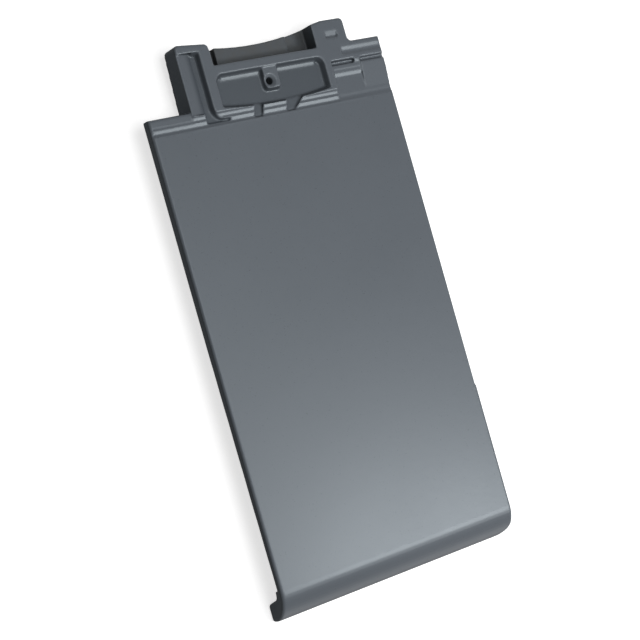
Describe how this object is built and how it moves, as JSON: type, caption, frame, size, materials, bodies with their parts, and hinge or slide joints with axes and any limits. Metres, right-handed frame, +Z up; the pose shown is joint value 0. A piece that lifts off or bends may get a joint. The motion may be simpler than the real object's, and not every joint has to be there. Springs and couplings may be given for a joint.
{
  "type": "verge roof tile",
  "caption": "Left-hand flat interlocking clay verge roof tile with a rounded foot lip, a ribbed head with lugs and a nail hole, a side lock and hanging nibs.",
  "frame": {"origin": "bottom centre of the tile's bounding box, on the surface that it lies on", "axes": "+Z up out of the smooth face, +Y from the rounded foot to the head with its lugs, +X from the plain verge edge to the side lock"},
  "size_m": [0.24, 0.47, 0.03],
  "materials": {
    "engobed_clay": "satin slate-grey engobe over fired clay"
  },
  "bodies": {
    "root": {"verge_tile": "engobed_clay"}
  },
  "joints": []
}
